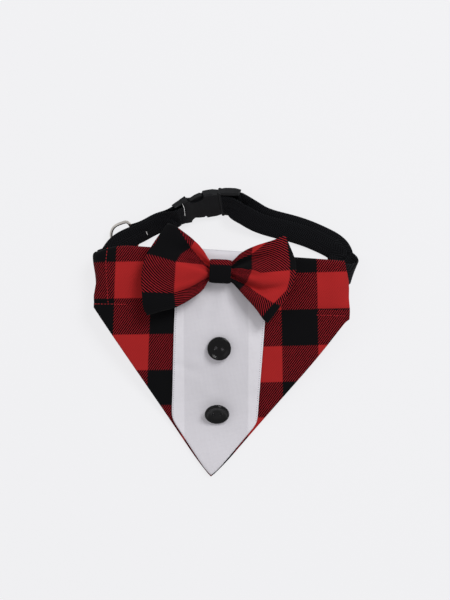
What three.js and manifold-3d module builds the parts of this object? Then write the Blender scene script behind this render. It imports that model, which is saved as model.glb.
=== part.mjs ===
// A pet's bow tie collar, lying on its back as it is put down on a table: a nylon strap in a loop with a
// curved side release buckle and a D-ring, a plaid neckerchief whose sleeve the strap runs through, a white
// shirt front with two buttons, and a pinched bow. Millimetres. +X to the wearer's left as it lies, +Y from
// the neckerchief's tip to its sleeve, +Z up from the table. The strap's far side and the tip lie on Z = 0.
import * as THREE from "three";
import { mergeVertices } from "three/addons/utils/BufferGeometryUtils.js";
import Module from "manifold-3d";

const wasm = await Module();
wasm.setup();

// Driving dimensions: webbing and strap loop
const WEB_WIDTH = 15;
const WEB_THICK = 1.3;
const LAYER_GAP = 0.3; // between two layers of webbing, and between pieces that touch
const BEND_RADIUS_RIGHT = 9.5; // where the strap turns back beyond the sleeve's right end
const BEND_RADIUS_LEFT = 6.2;
const BEND_SLANT_RIGHT = 17; // degrees that a bend's axis leans from square, so the strap comes back higher
const BEND_SLANT_LEFT = 10;
const BEND_START_RIGHT = 77.6; // where the strap starts to turn down, from the middle of the sleeve
const BEND_START_LEFT = 82;
const FOLD_BACK_LEFT = 43; // webbing turned back behind the socket's bar
const FOLD_BACK_IN_SLEEVE = 45; // end of the right fold, from the middle of the sleeve

// Driving dimensions: neckerchief
const CLOTH = 1.2; // one layer of hemmed flannel
const SLEEVE_LENGTH = 181;
const SLEEVE_HEIGHT = 39.4;
const SLEEVE_RISE = 1.6; // its top edge is this much higher at the left end and lower at the right
const TIP_DROP = 120; // from the sleeve's seam to the tip
const TIP_OFFSET = -2.6; // of the tip from the middle of the sleeve
const TIP_ROUND = 2;
const TIP_REST = 24; // length of the tip that lies flat
const CORNER_DROOP = 5;
const END_SLANT_RIGHT = 8.4; // the sleeve's right end is cut back this much at its top
const END_SHORT_RIGHT = 2.2; // and this much at its foot
const END_SLANT_LEFT = -2.4;
const CORNER_RIGHT = 1.4; // where the lower edge comes to at each end, below the seam
const CORNER_LEFT = 4;
const END_BLUNT = 3; // the cloth below the seam is at least this high

// Driving dimensions: shirt front and buttons
const FRONT_CLOTH = 1.1;
const FRONT_WIDTH = 63;
const FRONT_TAPER = 0.035; // it is narrower near the tip by this share
const FRONT_OFFSET = -2.2; // of its middle from the middle of the sleeve
const FRONT_INSET = 0.9; // from the neckerchief's slanting edges
const FRONT_TURN_OVER = 9; // how far it goes over the sleeve's top edge, behind
const BUTTON_DIAMETER = 16.4;
const BUTTON_THICK = 2.8;
const BUTTON_RIM = 1.5;
const BUTTON_DISH = 0.9; // depth of the face inside the rim
const BUTTON_HOLE = 1.9;
const BUTTON_HOLE_PITCH = 4.2;

// Driving dimensions: bow
const BOW_HALF = 54; // from the knot's middle to the outer end of a wing
const BOW_HALF_HEIGHT = 32;
const BOW_PUFF = 5.2; // half of a wing's greatest thickness
const BOW_CLOTH = 1.5;
const BOW_RISE = 3.2; // how far the wings stand in front of the knot's middle
const KNOT_WIDTH = 15;
const KNOT_HEIGHT = 16.6;
const KNOT_THICK = 10.8;
const KNOT_CLOTH = 1.25;
const KNOT_X = -3.4;
const KNOT_Y = 25.6;

// Driving dimensions: buckle
const BUCKLE_WIDTH = 21.5;
const BUCKLE_THICK = 6.8;
const BUCKLE_END_THICK = 5.2;
const BUCKLE_WALL = 1.3;
const BUCKLE_BEND = 52; // radius that it is curved to, round the neck
const BUCKLE_LEAN = 45; // degrees that its face leans back from flat
const BUCKLE_TURN = 14; // degrees that it is turned on the table
const BUCKLE_SETTLE = 0.7; // its rounded edges let it lie this much lower
const BUCKLE_X = -15.2;
const BUCKLE_Y = 73.1;
const SOCKET_LENGTH = 33.5;
const SOCKET_DEPTH = 24.6;
const PLUG_LENGTH = 15.4;
const BAR_LENGTH = 2.6; // of a webbing bar, along the strap
const BAR_THICK = 2;
const BAR_GAP = 0.65; // between a bar and the webbing on each side
const RAIL_CLEARANCE = 0.5; // between webbing and the rails beside it

// Driving dimensions: D-ring
const RING_WIRE = 2.3;
const RING_INSIDE = 18;
const RING_DEPTH = 16; // from the middle of its bar to the middle of its bow
const RING_TILT = 9; // degrees off the strap, at rest
const RING_FROM_BUCKLE = 35;

const rad = THREE.MathUtils.degToRad;
const mix = THREE.MathUtils.lerp;
const ease = THREE.MathUtils.smoothstep;

// Heights that follow from the sizes above
const LAYER_STEP = WEB_THICK + LAYER_GAP;
const SLEEVE_STRAP_Z = 1.5 * LAYER_GAP + LAYER_STEP + WEB_THICK / 2 + 2 * BEND_RADIUS_RIGHT; // middle of the strap inside the sleeve
const TUNNEL_LOW = SLEEVE_STRAP_Z - WEB_THICK / 2 - 1.5 * LAYER_GAP;
const TUNNEL_HIGH = SLEEVE_STRAP_Z + LAYER_STEP + WEB_THICK / 2 + 1.5 * LAYER_GAP;
const SLEEVE_BACK_Z = TUNNEL_LOW - CLOTH;
const SLEEVE_FRONT_Z = TUNNEL_HIGH + CLOTH;
const STRAP_Y = SLEEVE_HEIGHT - SLEEVE_RISE - CLOTH - 3 * LAYER_GAP - WEB_WIDTH / 2;
const SLEEVE_HALF = SLEEVE_LENGTH / 2;
const BAR_STEP = BAR_THICK + 2 * BAR_GAP + WEB_THICK; // between webbing layers on both sides of a bar

// A closed geometry as a manifold-3d solid, and back.
function solid(geometry) {
  const bare = new THREE.BufferGeometry();
  bare.setAttribute("position", geometry.getAttribute("position"));
  if (geometry.index) bare.setIndex(geometry.index);
  const merged = mergeVertices(bare.index ? bare.toNonIndexed() : bare, 1e-4);
  return new wasm.Manifold(
    new wasm.Mesh({
      numProp: 3,
      vertProperties: merged.attributes.position.array,
      triVerts: new Uint32Array(merged.index.array),
    }),
  );
}

function geometryOf(body) {
  const made = body.getMesh();
  const geometry = new THREE.BufferGeometry();
  geometry.setAttribute("position", new THREE.BufferAttribute(made.vertProperties, 3));
  geometry.setIndex(new THREE.BufferAttribute(made.triVerts, 1));
  return geometry;
}

// The cut at a curled end can leave a crumb of no size beside the cloth.
function withoutCrumbs(body) {
  return body.decompose().reduce((a, b) => (a.volume() > b.volume() ? a : b));
}

// Skins a row of closed rings, each the same count of points, and closes both ends.
function loft(rings) {
  const count = rings[0].length;
  const points = rings.flat();
  const faces = [];
  for (let i = 0; i + 1 < rings.length; i++)
    for (let j = 0; j < count; j++) {
      const a = i * count + j;
      const b = i * count + ((j + 1) % count);
      const [p, q, r, s] = [a, b, a + count, b + count].map((k) => points[k]);
      if (q.distanceTo(r) < p.distanceTo(s)) faces.push(a, b, a + count, b, b + count, a + count);
      else faces.push(a, b, b + count, a, b + count, a + count);
    }
  faces.push(...capOf(count, 0).map(([a, b, c]) => [a, c, b]).flat());
  faces.push(...capOf(count, (rings.length - 1) * count).flat());
  const geometry = new THREE.BufferGeometry().setFromPoints(points);
  geometry.setIndex(faces);
  const made = solid(geometry);
  if (made.volume() > 0) return made;
  for (let i = 0; i < faces.length; i += 3) [faces[i], faces[i + 1]] = [faces[i + 1], faces[i]];
  geometry.setIndex(faces);
  return solid(geometry);
}

// Triangles of a ring's end face, as rungs between its first half and its second half.
function capOf(count, first) {
  const faces = [];
  for (let k = 0; k < count - 2 - k; k++) {
    const [a, b, c, d] = [k, k + 1, count - 2 - k, count - 1 - k].map((at) => at + first);
    faces.push([a, b, d]);
    if (b !== c) faces.push([b, c, d]);
  }
  return faces;
}

// Value of a table's column at a place between its first and last row, smoothly.
function column(rows, name, place) {
  const at = place * (rows.length - 1);
  const i = Math.min(Math.floor(at), rows.length - 2);
  const pick = (k) => rows[THREE.MathUtils.clamp(k, 0, rows.length - 1)][name];
  const t = at - i;
  const [a, b, c, d] = [pick(i - 1), pick(i), pick(i + 1), pick(i + 2)];
  return b + 0.5 * t * (c - a + t * (2 * a - 5 * b + 4 * c - d + t * (3 * (b - c) + d - a)));
}

// The neckerchief's middle surface falls from the sleeve to the tip, which lies flat on the table.
function clothHeight(x, y) {
  const fallen = ease(y, -TIP_DROP + TIP_REST, 4);
  const droop = CORNER_DROOP * Math.pow(Math.abs(x) / SLEEVE_HALF, 3) * (1 - ease(y, -12, 24)) * fallen;
  return CLOTH + (SLEEVE_STRAP_Z - CLOTH) * fallen - droop;
}

// The strap turns down and back round a slanting axis at each end, and the sleeve's ends go with it.
const BENDS = {
  "-1": bendOf(-1, BEND_START_LEFT, BEND_RADIUS_LEFT, BEND_SLANT_LEFT),
  1: bendOf(1, BEND_START_RIGHT, BEND_RADIUS_RIGHT, BEND_SLANT_RIGHT),
};

function bendOf(side, start, radius, slant) {
  return { side, start, radius, sin: Math.sin(rad(slant)), cos: Math.cos(rad(slant)) };
}

// A place on a bend: its angle round the axis, how far up the axis, and how far out from the strap's middle.
function onBend(bend, angle, up, out) {
  const reach = (bend.radius + out) * Math.sin(angle);
  const below = (bend.radius + out) * Math.cos(angle) - bend.radius;
  return new THREE.Vector3(
    bend.side * (bend.start + bend.cos * reach + bend.sin * up),
    STRAP_Y - bend.sin * reach + bend.cos * up,
    SLEEVE_STRAP_Z + below,
  );
}

// Takes a point of the flat sleeve to its curled place.
function curl(x, y, z) {
  const bend = BENDS[x > 0 ? 1 : -1];
  const past = (Math.abs(x) - bend.start) * bend.cos - (y - STRAP_Y) * bend.sin;
  if (past <= 0) return new THREE.Vector3(x, y, z);
  const up = (Math.abs(x) - bend.start) * bend.sin + (y - STRAP_Y) * bend.cos;
  const curled = onBend(bend, past / (bend.radius + LAYER_STEP), up, z - SLEEVE_STRAP_Z);
  return new THREE.Vector3(x, y, z).lerp(curled, ease(y, 2, STRAP_Y - WEB_WIDTH / 2));
}

// Places along the sleeve where the neckerchief has a section, closer together in the curled ends.
function clothStations(low, high, step) {
  const count = Math.max(2, Math.round((high - low) / step));
  return Array.from({ length: count + 1 }, (_, i) => mix(low, high, i / count));
}

function lowerEdge(x) {
  const side = x > TIP_OFFSET ? 1 : -1;
  const corner = side > 0 ? CORNER_RIGHT : CORNER_LEFT;
  const rise = (off) => Math.hypot(off, TIP_ROUND) - TIP_ROUND;
  const slope = (TIP_DROP - corner) / rise(SLEEVE_HALF - side * TIP_OFFSET);
  return Math.min(slope * rise(x - TIP_OFFSET) - TIP_DROP, -END_BLUNT);
}

function sleeveTop(x) {
  return SLEEVE_HEIGHT - (SLEEVE_RISE * x) / SLEEVE_HALF;
}

// Section of the neckerchief across the sleeve at x, from the top fold down the front to the lower edge.
// Columns: share of the sleeve's height, and half of the thickness there as a share of the sleeve's.
const SLEEVE_FRONT_ROWS = [
  { up: 0.985, thick: 0.55 },
  { up: 0.95, thick: 0.93 },
  { up: 0.84, thick: 1 },
  { up: 0.68, thick: 1 },
  { up: 0.5, thick: 0.97 },
  { up: 0.3, thick: 0.6 },
  { up: 0.1, thick: 0.42 },
  { up: 0.02, thick: 0.4 },
];
const SLEEVE_MIDDLE = (SLEEVE_BACK_Z + SLEEVE_FRONT_Z) / 2;
const SLEEVE_HALF_THICK = (SLEEVE_FRONT_Z - SLEEVE_BACK_Z) / 2;
const CLOTH_ROWS = 10;

function sleeveMiddle(x, y) {
  const low = clothHeight(x, y);
  return mix(low, SLEEVE_MIDDLE, ease(y, 0, SLEEVE_HEIGHT * 0.5));
}

// A place of the sleeve, drawn in towards its middle by the slant of its ends, then curled.
function sleevePoint(x, y, z) {
  const right = END_SHORT_RIGHT * (1 - ease(y, 2, 14)) + END_SLANT_RIGHT * ease(y, 4, SLEEVE_HEIGHT);
  const drawn = x > 0 ? right : END_SLANT_LEFT * ease(y, 0, 15);
  const share = ease(Math.abs(x), SLEEVE_HALF - 30, SLEEVE_HALF);
  return curl(x * (1 - (drawn * share) / SLEEVE_HALF), y, z);
}

function clothSide(x, face) {
  const row = (up, thick) => {
    const y = sleeveTop(x) * up;
    const z = sleeveMiddle(x, y) + face * thick * SLEEVE_HALF_THICK;
    return sleevePoint(x, y, z);
  };
  const sleeve = SLEEVE_FRONT_ROWS.map((r) => row(r.up, r.thick));
  const low = lowerEdge(x);
  const kerchief = Array.from({ length: CLOTH_ROWS }, (_, i) => {
    const y = (low * (i + 1)) / CLOTH_ROWS;
    return sleevePoint(x, y, clothHeight(x, y) + face * CLOTH * (i === CLOTH_ROWS - 1 ? 0.8 : 1));
  });
  return { top: row(1, 0), sleeve, kerchief };
}

function clothRing(x) {
  const front = clothSide(x, 1);
  const back = clothSide(x, -1);
  return [
    front.top,
    ...front.sleeve,
    ...front.kerchief,
    ...back.kerchief.reverse(),
    ...back.sleeve.reverse(),
  ];
}

function neckerchief() {
  const bent = BEND_START_RIGHT - 4;
  const ends = clothStations(bent, SLEEVE_HALF, 2.8);
  const left = clothStations(-bent, TIP_OFFSET, 10).slice(1);
  const middle = [...left, ...clothStations(TIP_OFFSET, bent, 10).slice(1, -1)];
  const outside = loft([...ends.map((x) => -x).reverse(), ...middle, ...ends].map(clothRing));
  const beyond = clothStations(bent, SLEEVE_HALF + 3, 2.8);
  const through = [...beyond.map((x) => -x).reverse(), ...middle, ...beyond];
  return withoutCrumbs(outside.subtract(loft(through.map(tunnelRing))));
}

// The sleeve's inside: room for the strap under the top fold, and a flat slit below it.
function tunnelRing(x) {
  const room = sleeveTop(x) * 0.5;
  const waist = sleeveTop(x) * 0.3;
  const seam = sleeveTop(x) * 0.1;
  const slit = LAYER_GAP;
  const at = (y, z) => sleevePoint(x, y, z);
  const top = sleeveTop(x) - CLOTH - LAYER_GAP;
  const mid = (y) => sleeveMiddle(x, y);
  const front = [
    at(top, TUNNEL_HIGH - 2 * LAYER_GAP),
    at(top - 2 * LAYER_GAP, TUNNEL_HIGH),
    at(mix(top, room, 0.35), TUNNEL_HIGH),
    at(mix(top, room, 0.68), TUNNEL_HIGH),
    at(room, TUNNEL_HIGH),
    at(waist, mid(waist) + slit),
    at(seam, mid(seam) + slit),
  ];
  const back = [
    at(seam, mid(seam) - slit),
    at(waist, mid(waist) - slit),
    at(room, TUNNEL_LOW),
    at(mix(top, room, 0.68), TUNNEL_LOW),
    at(mix(top, room, 0.35), TUNNEL_LOW),
    at(top - 2 * LAYER_GAP, TUNNEL_LOW),
    at(top, TUNNEL_LOW + 2 * LAYER_GAP),
  ];
  return [...front, ...back];
}

// Moves each point of a section's line away from it, in the plane across the sleeve.
function offsetLine(line, distance) {
  return line.map((p, i) => {
    const a = line[Math.max(i - 1, 0)];
    const b = line[Math.min(i + 1, line.length - 1)];
    const along = new THREE.Vector2(b.y - a.y, b.z - a.z).normalize();
    return new THREE.Vector3(p.x, p.y - along.y * distance * -1, p.z + along.x * distance * -1);
  });
}

// The shirt front lies on the neckerchief and turns over the sleeve's top edge.
function shirtFront() {
  const left = FRONT_OFFSET - FRONT_WIDTH / 2;
  const right = FRONT_OFFSET + FRONT_WIDTH / 2;
  const stations = [...clothStations(left, TIP_OFFSET, 5), ...clothStations(TIP_OFFSET, right, 5).slice(1)];
  const rings = stations.map((x) => {
    const front = clothSide(x, 1);
    const back = clothSide(x, -1);
    const turned = back.sleeve.filter((p) => p.y > sleeveTop(x) - FRONT_TURN_OVER).reverse();
    const low = lowerEdge(x) + FRONT_INSET / Math.sin(Math.atan(SLEEVE_HALF / TIP_DROP));
    const kerchief = front.kerchief.map((p, i) => {
      const y = (low * (i + 1)) / CLOTH_ROWS;
      return new THREE.Vector3(x, y, clothHeight(x, y) + CLOTH);
    });
    const line = [...turned, front.top, ...front.sleeve, ...kerchief];
    line.forEach((p) => (p.x -= (p.x - FRONT_OFFSET) * FRONT_TAPER * ease(-p.y, 0, TIP_DROP * 0.7)));
    return [...offsetLine(line, LAYER_GAP + FRONT_CLOTH), ...offsetLine(line, LAYER_GAP).reverse()];
  });
  return loft(rings);
}

// The buckle leans back on its lower edge and is turned a little from the sleeve's line.
function buckleTurn() {
  return new THREE.Euler(rad(BUCKLE_LEAN), 0, rad(BUCKLE_TURN), "ZXY");
}

function buckleHeight() {
  const lean = rad(BUCKLE_LEAN);
  return (BUCKLE_WIDTH / 2) * Math.sin(lean) + (BUCKLE_THICK / 2) * Math.cos(lean) - BUCKLE_SETTLE;
}

function inBuckle(along, across, out) {
  const angle = along / BUCKLE_BEND;
  const p = new THREE.Vector3(
    (BUCKLE_BEND - out) * Math.sin(angle),
    across,
    BUCKLE_BEND - (BUCKLE_BEND - out) * Math.cos(angle),
  );
  return p.applyEuler(buckleTurn()).add(new THREE.Vector3(BUCKLE_X, BUCKLE_Y, buckleHeight()));
}

const BUCKLE_HALF = (SOCKET_LENGTH + PLUG_LENGTH + LAYER_GAP) / 2;
const SOCKET_MOUTH = SOCKET_LENGTH - BUCKLE_HALF;
const PLUG_START = SOCKET_MOUTH + LAYER_GAP;
const SOCKET_BAR = -BUCKLE_HALF; // outer face of the socket's webbing bar
const PLUG_BASE = 2; // thickness of the plug's cross wall
const PLUG_SLOT = 2.7;
const PLUG_INNER_BAR = PLUG_START + PLUG_BASE + PLUG_SLOT;
const PLUG_OUTER_BAR = PLUG_START + PLUG_LENGTH - BAR_LENGTH;
const PLUG_END = PLUG_START + PLUG_LENGTH;
const BAR_CLEAR = 3; // the strap runs on this far past a buckle's end before it bends away
const SOCKET_WRAP = SOCKET_BAR + BAR_LENGTH - BAR_THICK / 2 + 0.2; // middle of the webbing's turn
const PLUG_WRAP = PLUG_INNER_BAR + BAR_THICK / 2;

// The runs behind the neck. Columns: place along the sleeve as a share of its half, distance from its seam
// as a share of the buckle's, height as a share of the buckle's, and lean in degrees.
const LEFT_RUN = [
  { x: -0.54, y: 0.785, high: 1.02, lean: 31 },
  { x: -0.659, y: 0.698, high: 0.92, lean: 28 },
  { x: -0.844, y: 0.567, high: 0.94, lean: 12 },
];
const RIGHT_RUN = [
  { x: 0.86, y: 0.606, high: 0.33, lean: 8 },
  { x: 0.696, y: 0.707, high: 0.34, lean: 12 },
  { x: 0.534, y: 0.767, high: 0.46, lean: 16 },
  { x: 0.33, y: 0.815, high: 0.7, lean: 22 },
  { x: 0.217, y: 0.852, high: 0.95, lean: 28 },
];
// The webbing leaves the plug at a slant, over its lower rail. Columns: place between the webbing's turn
// and the plug's end, shift across, height over the bars, and lean in degrees.
const PLUG_RUN = [
  { place: 1, across: -4.6, out: 5, lean: 34 },
  { place: 0.72, across: -2.2, out: 4.2, lean: 37 },
  { place: 0.44, across: -0.5, out: 3, lean: 42 },
  { place: 0.16, across: 0, out: BAR_STEP / 2, lean: BUCKLE_LEAN },
  { place: 0, across: 0, out: BAR_STEP / 2, lean: BUCKLE_LEAN },
];
const BEND_STEPS = 8;

function leaning(degrees) {
  return new THREE.Vector3(0, Math.cos(rad(degrees)), Math.sin(rad(degrees)));
}

// One row of the strap's middle line round a bend, from the sleeve (0) to behind the neck (1).
function bendRow(bend, share) {
  const angle = share * Math.PI;
  const { sin, cos } = bend;
  const up = (bend.radius * angle * sin) / cos;
  const across = new THREE.Vector3(
    bend.side * cos * sin * (1 - Math.cos(angle)),
    cos * cos + sin * sin * Math.cos(angle),
    sin * Math.sin(angle),
  );
  return { place: onBend(bend, angle, up, 0), across };
}

function runRow(row) {
  const place = new THREE.Vector3(row.x * SLEEVE_HALF, row.y * BUCKLE_Y, row.high * buckleHeight());
  return { place, across: leaning(row.lean) };
}

function strapPath() {
  const out = BAR_STEP / 2;
  const inSocket = [SOCKET_WRAP, SOCKET_BAR, SOCKET_BAR - BAR_CLEAR].map((along) => ({
    place: inBuckle(along, 0, out),
    across: leaning(BUCKLE_LEAN),
  }));
  const shares = Array.from({ length: BEND_STEPS }, (_, i) => (i + 1) / BEND_STEPS);
  const inSleeve = clothStations(-BEND_START_LEFT, BEND_START_RIGHT, 32).map((x) => ({
    place: new THREE.Vector3(x, STRAP_Y, SLEEVE_STRAP_Z),
    across: leaning(0),
  }));
  const inPlug = PLUG_RUN.map((r) => ({
    place: inBuckle(mix(PLUG_WRAP, PLUG_END, r.place), r.across, r.out),
    across: leaning(r.lean),
  }));
  return [
    ...inSocket,
    ...LEFT_RUN.map(runRow),
    ...shares.map((share) => bendRow(BENDS["-1"], share)).reverse(),
    ...inSleeve,
    ...shares.map((share) => bendRow(BENDS[1], share)),
    ...RIGHT_RUN.map(runRow),
    ...inPlug,
  ];
}

// Frames along the strap's middle line: place, way along, way across and way out from the neck.
const FRAMES_PER_ROW = 3;

function strapFrames() {
  const rows = strapPath();
  const curve = new THREE.CatmullRomCurve3(rows.map((r) => r.place), false, "centripetal");
  const sides = ["x", "y", "z"].map((axis) => rows.map((r) => ({ [axis]: r.across[axis] })));
  const count = (rows.length - 1) * FRAMES_PER_ROW;
  let run = 0;
  let last = null;
  return Array.from({ length: count + 1 }, (_, i) => {
    const t = i / count;
    const place = curve.getPoint(t);
    const along = curve.getTangent(t);
    const [x, y, z] = ["x", "y", "z"].map((axis, k) => column(sides[k], axis, t));
    const across = new THREE.Vector3(x, y, z);
    across.addScaledVector(along, -across.dot(along)).normalize();
    const out = along.clone().cross(across);
    run += last ? place.distanceTo(last) : 0;
    last = place;
    return { place, along, across, out, run };
  });
}

const FRAMES = strapFrames();
const STRAP_RUN = FRAMES[FRAMES.length - 1].run;
const SLEEVE_FRAMES = FRAMES.filter((f) => f.place.z > SLEEVE_STRAP_Z - LAYER_GAP);
const SLEEVE_CENTRE_RUN = SLEEVE_FRAMES.reduce((a, b) =>
  Math.abs(a.place.x) < Math.abs(b.place.x) ? a : b,
).run;

function strapPoint(frame, across, out, along = 0) {
  return frame.place
    .clone()
    .addScaledVector(frame.across, across)
    .addScaledVector(frame.out, out)
    .addScaledVector(frame.along, along);
}

// How far out the folded-back webbing lies from the strap: over a bar, over the ring's wire, or close.
function foldStep(distance) {
  const bar = 1 - ease(distance, BAR_LENGTH, BAR_LENGTH + 7);
  const wire = RING_WIRE + 2 * LAYER_GAP + WEB_THICK;
  const ring = 1 - ease(Math.abs(distance - RING_FROM_BUCKLE), RING_WIRE * 0.6, 6);
  return LAYER_STEP + (BAR_STEP - LAYER_STEP) * bar + (wire - LAYER_STEP) * ring;
}

// The fold on the right lies behind the strap, at first apart from it and higher, then close to it.
const PLUG_STRADDLE = PLUG_END - PLUG_WRAP;
const FOLD_APART = 6.4;
const FOLD_SHIFT = 4.4;
const FOLD_SHIFT_AT_BEND = 3.7;

function plugFoldStep(distance) {
  return mix(FOLD_APART, LAYER_STEP, ease(distance, PLUG_STRADDLE + 4, PLUG_STRADDLE + 30));
}

function plugFoldShift(distance) {
  const bend = FOLD_SHIFT_AT_BEND * (1 - ease(distance, 98, 118));
  return mix(FOLD_SHIFT, bend, ease(distance, 40, 80));
}

const WRAP_STEPS = 6;
const WEB_EDGE = 0.35; // the webbing's edges are rounded this much

// Section of the webbing: a flat bar with rounded edges, from its middle.
function webRing(frame, across, out) {
  const w = WEB_WIDTH / 2;
  const t = WEB_THICK / 2;
  const corners = [
    [-w + WEB_EDGE, -t],
    [w - WEB_EDGE, -t],
    [w, 0],
    [w - WEB_EDGE, t],
    [-w + WEB_EDGE, t],
    [-w, 0],
  ];
  return corners.map(([a, o]) => strapPoint(frame, across + a, out + o));
}

// The webbing's turn round a bar: from the folded-back layer to the strap.
function wrapRings(frame, sign) {
  const w = WEB_WIDTH / 2;
  const t = WEB_THICK / 2;
  const rings = [];
  for (let i = 0; i <= WRAP_STEPS; i++) {
    const angle = (i / WRAP_STEPS) * Math.PI;
    const ring = [
      [-w + WEB_EDGE, -t],
      [w - WEB_EDGE, -t],
      [w, 0],
      [w - WEB_EDGE, t],
      [-w + WEB_EDGE, t],
      [-w, 0],
    ].map(([a, o]) => {
      const r = BAR_STEP / 2 - o;
      return strapPoint(frame, a, BAR_STEP / 2 + r * Math.cos(angle), sign * r * Math.sin(angle));
    });
    rings.push(ring);
  }
  return rings;
}

function strap() {
  const rings = [];
  const first = FRAMES[0];
  const last = FRAMES[FRAMES.length - 1];
  const leftFold = FRAMES.filter((f) => f.run > 0 && f.run < FOLD_BACK_LEFT);
  for (const f of [...leftFold].reverse()) rings.push(turned(webRing(f, 0, foldStep(f.run))));
  rings.push(...wrapRings(first, -1));
  for (const f of FRAMES.slice(1, -1)) rings.push(webRing(f, 0, 0));
  rings.push(...wrapRings(last, 1).reverse());
  for (const along of clothStations(PLUG_WRAP, PLUG_END + 1, 3).slice(1)) rings.push(foldInPlug(along));
  const end = SLEEVE_CENTRE_RUN + FOLD_BACK_IN_SLEEVE;
  const rightFold = FRAMES.filter((f) => f.run < STRAP_RUN - PLUG_STRADDLE - 8 && f.run > end);
  for (const f of [...rightFold].reverse()) {
    const back = STRAP_RUN - f.run;
    rings.push(turned(webRing(f, plugFoldShift(back), plugFoldStep(back))));
  }
  return loft(rings);
}

// The folded-back layer inside the plug runs straight along it, behind the bars.
function foldInPlug(along) {
  const w = WEB_WIDTH / 2;
  const t = WEB_THICK / 2;
  const ring = [
    [-w + WEB_EDGE, t],
    [w - WEB_EDGE, t],
    [w, 0],
    [w - WEB_EDGE, -t],
    [-w + WEB_EDGE, -t],
    [-w, 0],
  ];
  return ring.map(([across, out]) => inBuckle(along, across, -BAR_STEP / 2 - out));
}

// A ring of the folded-back layer has its inner and outer faces swapped, as it runs the other way.
function turned(ring) {
  return [ring[4], ring[3], ring[2], ring[1], ring[0], ring[5]];
}

// A block of the buckle, bent with it, with its long edges cut off by bevel.
function buckleBlock(from, to, low, high, bottom, top, bevel = 0, drawnIn = bevel * 0.5) {
  const stations = clothStations(from, to, 4);
  return loft(
    stations.map((x, i) => {
      const end = i === 0 || i === stations.length - 1 ? drawnIn : 0;
      const lo = low + end;
      const hi = high - end;
      const bo = bottom + end;
      const to2 = top - end;
      if (!bevel) return [[lo, bo], [hi, bo], [hi, to2], [lo, to2]].map(([y, z]) => inBuckle(x, y, z));
      return [
        [lo + bevel, bo],
        [hi - bevel, bo],
        [hi, bo + bevel],
        [hi, to2 - bevel],
        [hi - bevel, to2],
        [lo + bevel, to2],
        [lo, to2 - bevel],
        [lo, bo + bevel],
      ].map(([y, z]) => inBuckle(x, y, z));
    }),
  );
}

const RAIL_INNER = WEB_WIDTH / 2 + RAIL_CLEARANCE;
const RAIL_OUTER = BUCKLE_WIDTH / 2 - 0.7;
const NOTCH_FROM = SOCKET_MOUTH - 23;
const NOTCH_TO = SOCKET_MOUTH - 10.5;
const NOTCH_DEPTH = 4.2;

// The notch in each of the socket's sides, an oval through both faces.
function notchCutter(side) {
  const steps = 12;
  const centre = (NOTCH_FROM + NOTCH_TO) / 2;
  const half = (NOTCH_TO - NOTCH_FROM) / 2;
  const outline = Array.from({ length: steps + 1 }, (_, i) => {
    const angle = (i / steps) * Math.PI;
    const deep = NOTCH_DEPTH * Math.pow(Math.sin(angle), 0.7);
    return [centre - half * Math.cos(angle), side * (BUCKLE_WIDTH / 2 - deep)];
  });
  const rings = outline.map(([x, y]) => {
    const outer = side * (BUCKLE_WIDTH / 2 + 2);
    const t = BUCKLE_THICK;
    return [inBuckle(x, y, -t), inBuckle(x, outer, -t), inBuckle(x, outer, t), inBuckle(x, y, t)];
  });
  return loft(rings);
}

function buckleSocket() {
  const w = BUCKLE_WIDTH / 2;
  const t = BUCKLE_THICK / 2;
  const e = BUCKLE_END_THICK / 2;
  const bodyStart = SOCKET_BAR + BAR_LENGTH + 4;
  let body = buckleBlock(bodyStart, SOCKET_MOUTH, -w, w, -t, t, 1.1);
  const roof = BUCKLE_WALL;
  body = body.subtract(
    buckleBlock(SOCKET_MOUTH - SOCKET_DEPTH, SOCKET_MOUTH + 2, -w + roof, w - roof, -t + roof, t - roof),
  );
  body = body.subtract(notchCutter(1)).subtract(notchCutter(-1));
  for (const side of [-1, 1]) {
    body = body.add(socketRail(side, bodyStart + 1.5, e));
  }
  return body.add(webbingBar(SOCKET_BAR));
}

// A rail beside the webbing, which gets narrower and thinner from the socket's body to its bar.
function socketRail(side, to, thick) {
  return loft(
    clothStations(SOCKET_BAR, to, 3).map((x) => {
      const share = (x - SOCKET_BAR) / (to - SOCKET_BAR);
      const outer = mix(RAIL_OUTER - 1.2, RAIL_OUTER, share);
      const half = mix(thick * 0.85, thick, share);
      const cut = 0.6;
      return [
        [RAIL_INNER, -half],
        [outer - cut, -half],
        [outer, cut - half],
        [outer, half - cut],
        [outer - cut, half],
        [RAIL_INNER, half],
      ].map(([y, z]) => inBuckle(x, side * y, z));
    }),
  );
}

function webbingBar(from) {
  const t = BAR_THICK / 2;
  const reach = RAIL_INNER + 1;
  return buckleBlock(from, from + BAR_LENGTH, -reach, reach, -t, t, 0.4, 0.45);
}

// The plug: its frame with two bars, two springy arms with finger tabs in the notches, and a guide.
function bucklePlug() {
  const w = BUCKLE_WIDTH / 2;
  const t = BUCKLE_THICK / 2;
  const inside = w - BUCKLE_WALL - LAYER_GAP;
  const thin = t - BUCKLE_WALL - LAYER_GAP;
  let body = buckleBlock(PLUG_START, PLUG_START + PLUG_BASE, -w, w, -t, t, 0.5);
  for (const side of [-1, 1]) {
    const [low, high] = side > 0 ? [RAIL_INNER, w] : [-w, -RAIL_INNER];
    body = body.add(buckleBlock(PLUG_START + 1, PLUG_END, low, high, -t, t, 0.8));
    body = body.add(plugArm(side, inside, thin));
  }
  body = body.add(webbingBar(PLUG_INNER_BAR)).add(webbingBar(PLUG_OUTER_BAR));
  const guide = 1.6;
  return body.add(buckleBlock(PLUG_START - 13, PLUG_START + 1, -guide, guide, -thin, thin, 0.4));
}

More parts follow.
